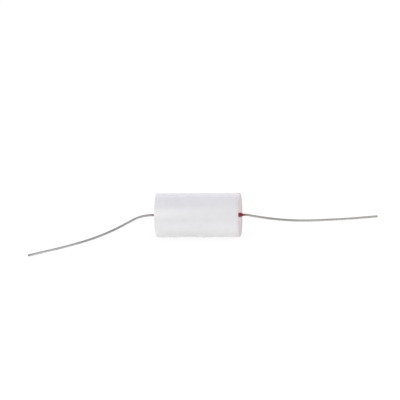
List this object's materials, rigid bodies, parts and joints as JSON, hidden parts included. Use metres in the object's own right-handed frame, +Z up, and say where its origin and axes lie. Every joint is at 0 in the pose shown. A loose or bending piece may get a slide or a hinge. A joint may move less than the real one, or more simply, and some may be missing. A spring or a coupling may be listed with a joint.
{
  "type": "film capacitor",
  "caption": "Axial film capacitor: round tape-wrapped body with resin-sealed ends and a bent wire lead leaving the middle of each end.",
  "frame": {"origin": "middle of the cylindrical body, on its axis", "axes": "+X along the body's axis towards the lead with the cone of resin that the camera sees, +Z up as the part lies on its side, -Y to the front"},
  "size_m": [0.1315, 0.0323, 0.0169],
  "materials": {
    "tape": "glossy white polyester tape, faintly cool",
    "resin": "deep red casting resin, glossy",
    "tinned_wire": "tinned copper, drawn, dull bright",
    "metallised_film": "wound metallised polypropylene film",
    "core_plastic": "moulded natural plastic",
    "sprayed_zinc": "rough sprayed zinc",
    "solder": "bright soft solder"
  },
  "bodies": {
    "root": {"tape_wrap": "tape", "film_winding": "metallised_film", "winding_core": "core_plastic", "left_end_spray": "sprayed_zinc", "right_end_spray": "sprayed_zinc", "left_lead": "tinned_wire", "right_lead": "tinned_wire", "left_solder": "solder", "right_solder": "solder", "left_end_fill": "resin", "right_end_fill": "resin"}
  },
  "joints": []
}
